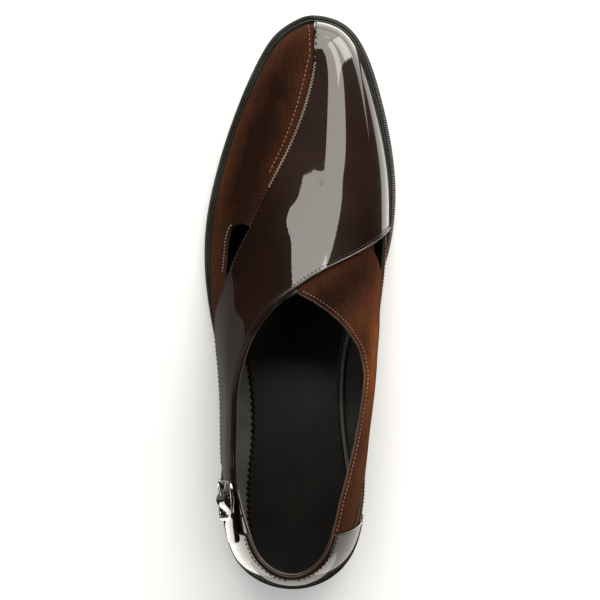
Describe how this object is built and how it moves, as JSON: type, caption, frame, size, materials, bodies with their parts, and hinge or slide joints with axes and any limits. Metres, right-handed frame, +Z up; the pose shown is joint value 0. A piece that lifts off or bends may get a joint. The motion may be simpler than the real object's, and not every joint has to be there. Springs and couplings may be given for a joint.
{
  "type": "dress shoe",
  "caption": "Left dress shoe with a suede upper, a patent panel crossing the instep to a side buckle, open sides and a low block heel.",
  "frame": {"origin": "middle of the sole's outline seen from above, on the floor", "axes": "+Y from the heel to the toe, +X to the inner side of the foot, +Z up"},
  "size_m": [0.1012, 0.3, 0.0857],
  "materials": {
    "sole_rubber": "matte black moulded rubber",
    "insole_board": "smooth black sock",
    "suede": "brown napped suede",
    "patent": "dark brown high gloss patent",
    "bright_metal": "bright"
  },
  "bodies": {
    "root": {"outsole": "sole_rubber", "insole": "insole_board", "upper": "suede", "cross_panel": "patent", "heel_counter": "patent", "buckle_strap": "patent", "buckle_frame": "bright_metal", "buckle_prong": "bright_metal"}
  },
  "joints": []
}
